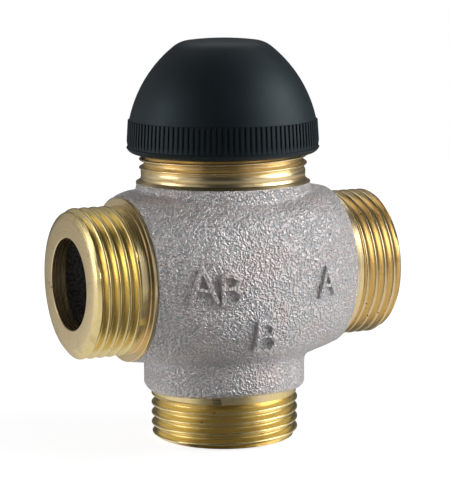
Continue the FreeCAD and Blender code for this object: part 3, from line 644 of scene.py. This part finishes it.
def remeshSkin(bm):
    for point, normal in cuts:
        rim = [e for e in bm.edges if e.is_boundary and onCut(e, point, normal)]
        moved = bmesh.ops.extrude_edge_only(bm, edges=rim)["geom"]
        shift = Vector(normal) * casting["extension"] * mm
        bmesh.ops.translate(bm, verts=[g for g in moved if isinstance(g, bmesh.types.BMVert)], vec=shift)
        ends = [g for g in moved if isinstance(g, bmesh.types.BMEdge) and g.is_boundary]
        bmesh.ops.triangle_fill(bm, edges=ends, use_beauty=True)
    bmesh.ops.recalc_face_normals(bm, faces=bm.faces)
    host = meshPiece("castingHost", meshOf("castingHost", bm))
    remesh = host.modifiers.new("remesh", "REMESH")
    remesh.mode = "VOXEL"
    remesh.voxel_size = casting["voxel"]
    soften = host.modifiers.new("soften", "SMOOTH")
    soften.factor = 0.5
    soften.iterations = casting["smoothing"]
    fine = evaluatedMesh(host)
    bpy.data.objects.remove(host)
    skin = bmesh.new()
    skin.from_mesh(fine)
    cutEnds(skin)
    return skin


def softStep(t):
    t = min(1.0, max(0.0, t))
    return t * t * (3 - 2 * t)


def strokeDistance(x, z):
    best = 1e9
    for line in letterStrokes:
        for (x0, z0), (x1, z1) in zip(line, line[1:]):
            dx, dz = x1 - x0, z1 - z0
            t = min(1.0, max(0.0, ((x - x0) * dx + (z - z0) * dz) / (dx * dx + dz * dz)))
            best = min(best, math.hypot(x - x0 - t * dx, z - z0 - t * dz))
    return best


def letterMask(co, reach):
    x, y, z = (c / mm for c in co)
    if y > letters["front"] or not letters["left"] < x < letters["right"]:
        return 0.0
    if not letters["foot"] < z < letters["head"]:
        return 0.0
    return softStep(1 - (strokeDistance(x, z) - letters["half"]) / reach)


def raiseLetters(bm):
    for _ in range(2):
        near = [e for e in bm.edges if all(letterMask(v.co, letters["fineReach"]) > 0 for v in e.verts)]
        bmesh.ops.subdivide_edges(bm, edges=near, cuts=1, use_grid_fill=True)
    bmesh.ops.triangulate(bm, faces=[f for f in bm.faces if len(f.verts) > 4])
    bm.normal_update()
    keep = bm.verts.layers.float.new("letter")
    for v in bm.verts:
        v[keep] = letterMask(v.co, letters["soft"])


def makeCastRelief():
    # real relief on the skin: sand lumps and grain, raised letters, calm near the machined cuts
    tree, given, result = newTree("GeometryNodeTree", "castRelief", [
        ("Geometry", "NodeSocketGeometry", None), ("Grain Scale", "NodeSocketFloat", 900.0),
        ("Grain Depth", "NodeSocketFloat", 0.0001), ("Lump Scale", "NodeSocketFloat", 230.0),
        ("Lump Depth", "NodeSocketFloat", 0.0002), ("Letter Height", "NodeSocketFloat", 0.0004),
        ("Calm Side", "NodeSocketFloat", 0.0193), ("Calm Low", "NodeSocketFloat", 0.0092),
        ("Calm High", "NodeSocketFloat", 0.0464), ("Calm Width", "NodeSocketFloat", 0.0006),
        ("Material", "NodeSocketMaterial", None),
    ], [("Geometry", "NodeSocketGeometry")])
    spot = place(tree, "GeometryNodeInputPosition").outputs[0]
    parts = place(tree, "ShaderNodeSeparateXYZ", {0: spot})
    side = calc(tree, "SUBTRACT", given["Calm Side"], calc(tree, "ABSOLUTE", parts.outputs[0]))
    low = calc(tree, "SUBTRACT", parts.outputs[2], given["Calm Low"])
    high = calc(tree, "SUBTRACT", given["Calm High"], parts.outputs[2])
    nearest = calc(tree, "MINIMUM", side, calc(tree, "MINIMUM", low, high))
    free = ease(tree, nearest, 0.0, given["Calm Width"])
    coarse = noiseValue(tree, spot, given["Grain Scale"], 2.0, 0.55, 0.9)
    fold = calc(tree, "ABSOLUTE", calc(tree, "SUBTRACT", coarse, 0.5))
    ridges = calc(tree, "SUBTRACT", calc(tree, "MULTIPLY", 4.0, fold), 0.4)
    lumps = calc(tree, "SUBTRACT", noiseValue(tree, spot, given["Lump Scale"], 2.0, 0.5, 0.2), 0.55)
    rough = calc(tree, "SUBTRACT", calc(tree, "MULTIPLY", lumps, given["Lump Depth"]),
                 calc(tree, "MULTIPLY", ridges, given["Grain Depth"]))
    letter = place(tree, "GeometryNodeInputNamedAttribute", {"Name": "letter"}, data_type="FLOAT").outputs[0]
    rise = calc(tree, "ADD", calc(tree, "MULTIPLY", rough, free),
                calc(tree, "MULTIPLY", letter, given["Letter Height"]))
    offset = place(tree, "ShaderNodeVectorMath", {0: place(tree, "GeometryNodeInputNormal").outputs[0],
                   "Scale": rise}, operation="SCALE")
    moved = place(tree, "GeometryNodeSetPosition", {"Geometry": given["Geometry"],
                  "Offset": offset.outputs[0]})
    closeTree(tree, moved.outputs[0], given, result)
    return tree


def liftFoot(co):
    # the cast edge over the lower port stands higher at the front and back than at the sides
    reach, top = math.hypot(co.x, co.y), casting["footLiftTop"]
    if reach < casting["footLiftReach"] * mm or co.z > top * mm:
        return 0.0
    t = (top * mm - co.z) / ((top - casting["lowerCut"]) * mm)
    return casting["footLift"] * mm * (co.y / reach) ** 2 * t * t * (3 - 2 * t)


def makeCasting():
    outer, inner = splitCasting()
    skin = remeshSkin(outer)
    raiseLetters(skin)
    c = casting
    host = meshPiece("bellyCasting", meshOf("bellyCasting", skin, c["sharpAngle"]))
    relief = grown(host, makeCastRelief(), {
        "Grain Scale": c["grainScale"], "Grain Depth": c["grainDepth"] * mm,
        "Lump Scale": c["lumpScale"], "Lump Depth": c["lumpDepth"] * mm,
        "Letter Height": letters["height"] * mm, "Calm Side": c["sideCut"] * mm,
        "Calm Low": c["lowerCut"] * mm, "Calm High": c["neckCut"] * mm,
        "Calm Width": c["calmWidth"] * mm, "Material": castNickel})
    bm = bmesh.new()
    bm.from_mesh(relief)
    for face in bm.faces:
        face.material_index = 0
    wallMesh = meshOf("innerWalls", inner)
    wallFaces = len(bm.faces)
    bm.from_mesh(wallMesh)
    bm.faces.ensure_lookup_table()
    for face in bm.faces[wallFaces:]:
        face.material_index = 1
    for point, normal in cuts:
        rims = [e for e in bm.edges if e.is_boundary and onCut(e, point, normal)]
        for g in bmesh.ops.triangle_fill(bm, edges=rims, use_beauty=True)["geom"]:
            if isinstance(g, bmesh.types.BMFace):
                g.material_index = 0
    bmesh.ops.recalc_face_normals(bm, faces=bm.faces)
    for v in bm.verts:
        v.co.z += liftFoot(v.co)
        v.co.y = min(max(v.co.y, cadLow.y + weld), cadHigh.y - weld)  # stays inside the solids' box
    print("casting: open edges", sum(e.is_boundary for e in bm.edges), "faces", len(bm.faces))
    mesh = meshOf("bellyCasting", bm, c["sharpAngle"])
    mesh.materials.clear()
    mesh.materials.append(castNickel)
    mesh.materials.append(coredWall)
    host.data = mesh
    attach(host, "valve")
    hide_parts("valve_body")


makeCasting()
print("casting done")


# The hand cap: moulded dome, lip and grip band with ribs

cap = {"bore": 15.08, "base": 51.5, "lipRadius": 15.7, "lipRise": 0.1, "lipRound": 1.6,
       "gripRadius": 17.2, "gripFoot": 52.6, "gripHeadRadius": 16.9, "gripHead": 57.45, "ribDepth": 0.24,
       "domeRadius": 16.65, "flankRadius": 22.6, "shoulder": (8.73, 70.38), "shoulderRadius": 5.0,
       "crownRadius": 50.0, "crownEdge": 6.2, "top": 71.85, "wall": 2.0, "threadTop": 57.0,
       "insideShoulder": (7.3, 69.0), "studFace": 61.7, "studRadius": 3.5, "ribs": 110, "around": 220}
ribShape = {"width": 0.74, "sink": 0.3, "steps": 6, "rows": 5, "endRound": 0.22, "footGap": 0.05,
            "squareness": 5, "sharpAngle": 50}


def arcPoints(start, end, radius, count):
    # a bulging arc in (radius, height) from start up to end, without its first point
    a, b = Vector(start), Vector(end)
    half = (b - a) / 2
    normal = Vector((half.y, -half.x)).normalized()
    centre = a + half - normal * math.sqrt(radius ** 2 - half.length ** 2)
    first, last = (math.atan2(*(p - centre).yx) for p in (a, b))
    if last < first:
        last += 2 * math.pi
    return [tuple(centre + radius * Vector((math.cos(t), math.sin(t))))
            for t in (first + (last - first) * k / count for k in range(1, count + 1))]


def makeRibBand():
    # ribs instanced round the grip band, leaning with its taper
    tree, given, result = newTree("GeometryNodeTree", "ribBand", [
        ("Rib", "NodeSocketObject", None), ("Count", "NodeSocketInt", 110),
        ("Material", "NodeSocketMaterial", None),
    ], [("Geometry", "NodeSocketGeometry")])
    spots = place(tree, "GeometryNodeMeshLine", {"Count": given["Count"], "Offset": (0, 0, 0)})
    index = place(tree, "GeometryNodeInputIndex").outputs[0]
    spin = calc(tree, "MULTIPLY", calc(tree, "DIVIDE", index, given["Count"]), 2 * math.pi)
    info = place(tree, "GeometryNodeObjectInfo", {"Object": given["Rib"]}, transform_space="ORIGINAL")
    rotation = place(tree, "ShaderNodeCombineXYZ", {2: spin})
    rows = place(tree, "GeometryNodeInstanceOnPoints", {"Points": spots.outputs[0],
                 "Instance": info.outputs["Geometry"], "Rotation": rotation.outputs[0]})
    closeTree(tree, rows.outputs[0], given, result)
    return tree


def makeRib():
    # one rib: a low bar with a rounded top, foot to head of the band, closed all round
    c, rib = cap, ribShape
    foot = c["gripFoot"] + rib["footGap"]
    bm = bmesh.new()
    sections = []
    for row in range(rib["rows"]):
        t = row / (rib["rows"] - 1)
        height = foot + t * (c["gripHead"] - foot)
        outside = c["gripRadius"] + t * (c["gripHeadRadius"] - c["gripRadius"])
        if row == 0:
            outside -= rib["endRound"]
        ring = []
        for k in range(rib["steps"] + 1):
            side = -1 + 2 * k / rib["steps"]
            drop = c["ribDepth"] * (1 - math.sqrt(max(0.0, 1 - abs(side) ** rib["squareness"])))
            ring.append((outside - drop, side * rib["width"] / 2, height))
        sunk = outside - c["ribDepth"] - rib["sink"]
        ring += [(sunk, rib["width"] / 2, height), (sunk, -rib["width"] / 2, height)]
        sections.append([bm.verts.new(Vector(p) * mm) for p in ring])
    for low, high in zip(sections, sections[1:]):
        for k in range(len(low)):
            bm.faces.new((low[k], low[(k + 1) % len(low)], high[(k + 1) % len(high)], high[k]))
    bm.faces.new(sections[0][::-1])
    bm.faces.new(sections[-1])
    bmesh.ops.recalc_face_normals(bm, faces=bm.faces)
    return meshPiece("ribPattern", meshOf("ribPattern", bm, rib["sharpAngle"]))


def makeCap():
    c = cap
    grooveFoot = c["gripRadius"] - c["ribDepth"]
    grooveHead = c["gripHeadRadius"] - c["ribDepth"]
    domeFoot = (c["domeRadius"], c["gripHead"] + 0.05)
    crownHeight = c["top"] - c["crownRadius"] + math.sqrt(c["crownRadius"] ** 2 - c["crownEdge"] ** 2)
    crownFoot = (c["crownEdge"], crownHeight)
    insideFoot = (c["domeRadius"] - c["wall"], c["threadTop"])
    outline = [(c["bore"], c["base"]), (c["lipRadius"], c["base"] + c["lipRise"])]
    outline += arcPoints(outline[-1], (c["gripRadius"], c["gripFoot"]), c["lipRound"], 8)
    outline += [(c["gripRadius"] - 0.03, c["gripFoot"] + 0.04), (grooveFoot, c["gripFoot"] + 0.12),
                (grooveHead, c["gripHead"] - 0.02), (grooveHead, c["gripHead"]),
                (c["domeRadius"] - 0.06, c["gripHead"]), domeFoot]
    outline += arcPoints(domeFoot, c["shoulder"], c["flankRadius"], 28)
    outline += arcPoints(c["shoulder"], crownFoot, c["shoulderRadius"], 8)
    outline += arcPoints(crownFoot, (0, c["top"]), c["crownRadius"], 6)[:-1]
    outline += [(0, c["top"]), (0, c["studFace"]), (c["studRadius"], c["studFace"]),
                (c["studRadius"], c["top"] - c["wall"])]
    outline += arcPoints(insideFoot, c["insideShoulder"], c["flankRadius"] - c["wall"], 14)[::-1]
    outline += [insideFoot, (c["bore"], c["threadTop"])]
    bm = bmesh.new()
    addRings(bm, [(height, radius) for radius, height in outline], c["around"], close=True)
    closeShell(bm)
    host = meshPiece("handCap", meshOf("handCap", bm, 32))
    rib = makeRib()
    ribs = meshPiece("gripRibs", bpy.data.meshes.new("gripRibs"))
    ribs.data = grown(ribs, makeRibBand(), {"Rib": rib, "Count": c["ribs"], "Material": capPlastic})
    bpy.data.objects.remove(rib)
    host.data.materials.append(capPlastic)
    for piece in (host, ribs):
        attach(piece, "cap")
        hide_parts("protective_cap")


makeCap()
print("cap done")


# The nodes that stay as the CAD made them

finishes = {
    innerBrass: ["bonnet", "gland_nut", "gland_spacer", "upper_disc", "distance_sleeve", "lower_disc"],
    turnedSteel: ["push_pin", "spindle", "spring_retainer", "return_spring", "spindle_washer", "spindle_nut"],
    sealRubber: ["bonnet_ring", "lower_gland_ring", "upper_gland_ring", "upper_seal", "lower_seal"],
    guidePlastic: ["guide_bush"],
}
for finish, names in finishes.items():
    for name in names:
        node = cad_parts[name]
        node.data.materials.clear()
        node.data.materials.append(finish)
print("inner parts finished")


# Floor, lights and camera

view = {"azimuth": -25.974, "elevation": 8.763, "roll": -0.334, "distance": 391.49, "aimHeight": 34.15,
        "aimRight": 0.278, "lens": 157.98, "sensor": 36.0}


def heading(azimuth, elevation):
    # the way from the valve towards a camera or lamp
    turn, tilt = math.radians(azimuth), math.radians(elevation)
    return Vector((math.sin(turn) * math.cos(tilt), -math.cos(turn) * math.cos(tilt), math.sin(tilt)))


def makeCamera():
    turn, roll = math.radians(view["azimuth"]), math.radians(view["roll"])
    back = heading(view["azimuth"], view["elevation"])
    right = Vector((math.cos(turn), math.sin(turn), 0))
    up = back.cross(right)
    spot = Vector((0, 0, view["aimHeight"])) + right * view["aimRight"] + back * view["distance"]
    across = right * math.cos(roll) + up * math.sin(roll)
    above = up * math.cos(roll) - right * math.sin(roll)
    data = bpy.data.cameras.new("camera")
    data.lens = view["lens"]
    data.sensor_width = view["sensor"]
    data.clip_start = 0.01
    camera = bpy.data.objects.new("camera", data)
    bpy.context.scene.collection.objects.link(camera)
    camera.matrix_world = Matrix.Translation(spot * mm) @ Matrix((across, above, back)).transposed().to_4x4()
    bpy.context.scene.camera = camera


softboxes = {  # azimuth is counted from the camera's; sizes and distances in metres
    "leftWide": {"azimuth": -72, "elevation": 12, "distance": 0.70, "size": (1.15, 0.85), "power": 1.1},
    "leftKey": {"azimuth": -80, "elevation": 16, "distance": 0.66, "size": (0.34, 0.42), "power": 0.95},
    "leftBack": {"azimuth": -126, "elevation": 8, "distance": 0.70, "size": (0.45, 0.65), "power": 0.22},
    "rightWide": {"azimuth": 70, "elevation": 12, "distance": 0.70, "size": (1.15, 0.85), "power": 1.35},
    "rightKey": {"azimuth": 86, "elevation": 26, "distance": 0.66, "size": (0.46, 0.46), "power": 2.7},
    "topSoftbox": {"azimuth": 0, "elevation": 124, "distance": 0.75, "size": (0.60, 0.45), "power": 0.95},
}
lampAim = Vector((0, 0, 0.035))


def makeSoftbox(name, box):
    data = bpy.data.lights.new(name, "AREA")
    data.shape = "RECTANGLE"
    data.size, data.size_y = box["size"]
    data.energy = box["power"]
    lamp = bpy.data.objects.new(name, data)
    bpy.context.scene.collection.objects.link(lamp)
    way = heading(view["azimuth"] + box["azimuth"], box["elevation"])
    spin = way.to_track_quat("Z", "Y").to_matrix().to_4x4()
    lamp.matrix_world = Matrix.Translation(way * box["distance"] + lampAim) @ spin


def cameraMask(tree, glossShare):
    paths = place(tree, "ShaderNodeLightPath").outputs
    shiny = calc(tree, "MAXIMUM", paths["Is Glossy Ray"], paths["Is Transmission Ray"])
    return calc(tree, "MAXIMUM", paths["Is Camera Ray"], calc(tree, "MULTIPLY", shiny, glossShare))


studio = {"room": (0.030, 0.034, 0.040, 1), "white": (1, 1, 1, 1), "behindGloss": 0.05,
          "floorSize": 0.45, "floorPoints": 64, "floorColor": (0.27, 0.27, 0.275, 1),
          "sideFrom": 0.46, "sideTo": 0.80, "middleGlow": 0.02, "sideGlow": 0.72, "backGlow": 0.27,
          "nearFrom": 0.02, "nearTo": 0.15, "nearStrength": 0.88}


def makeWorld():
    world = bpy.data.worlds.new("studio")
    bpy.context.scene.world = world
    world.use_nodes = True
    tree = world.node_tree
    toward = place(tree, "ShaderNodeVectorMath", {0: place(tree, "ShaderNodeTexCoord").outputs["Generated"],
                   1: heading(view["azimuth"], 0)}, operation="DOT_PRODUCT").outputs["Value"]
    behind = ease(tree, toward, 0.2, -0.6, 0.0, studio["behindGloss"])
    shade = mixColor(tree, cameraMask(tree, behind), studio["room"], studio["white"])
    feed(tree, tree.nodes["Background"].inputs["Color"], shade)


def makeFloor():
    size, count = studio["floorSize"], studio["floorPoints"]
    turns = [2 * math.pi * k / count for k in range(count)]
    mesh = bpy.data.meshes.new("floor")
    mesh.from_pydata([(size * math.cos(t), size * math.sin(t), 0) for t in turns], [], [tuple(range(count))])
    floor = meshPiece("floor", mesh)
    material, tree, surface = startMaterial("paleFloor")
    surface["Base Color"].default_value = studio["floorColor"]
    surface["Roughness"].default_value = 0.9
    surface["Specular IOR Level"].default_value = 0.1
    surface["Emission Color"].default_value = studio["white"]
    spot = objectSpot(tree)
    away = place(tree, "ShaderNodeVectorMath", {0: spot}, operation="LENGTH").outputs["Value"]
    outwards = place(tree, "ShaderNodeVectorMath", {0: spot}, operation="NORMALIZE").outputs["Vector"]
    aside = place(tree, "ShaderNodeVectorMath", {0: outwards, 1: heading(view["azimuth"] + 90, 0)},
                  operation="DOT_PRODUCT").outputs["Value"]
    toward = place(tree, "ShaderNodeVectorMath", {0: outwards, 1: heading(view["azimuth"], 0)},
                   operation="DOT_PRODUCT").outputs["Value"]
    # polished metal sees the floor bright at the valve's sides and dim in front and behind
    glow = ease(tree, calc(tree, "ABSOLUTE", aside), studio["sideFrom"], studio["sideTo"],
                studio["middleGlow"], studio["sideGlow"])
    glow = calc(tree, "MULTIPLY", glow, ease(tree, toward, -0.75, 0.0, studio["backGlow"], 1.0))
    # the floor glows less close to the valve: painted shade round its foot, where the real shadow also falls
    near = ease(tree, away, studio["nearFrom"], studio["nearTo"], studio["nearStrength"], 1.0)
    feed(tree, surface["Emission Strength"], calc(tree, "MULTIPLY", cameraMask(tree, glow), near))
    mesh.materials.append(material)


makeCamera()
for name, box in softboxes.items():
    makeSoftbox(name, box)
makeWorld()
makeFloor()
bpy.context.scene.view_settings.view_transform = "Standard"
print("camera, lights and floor set")
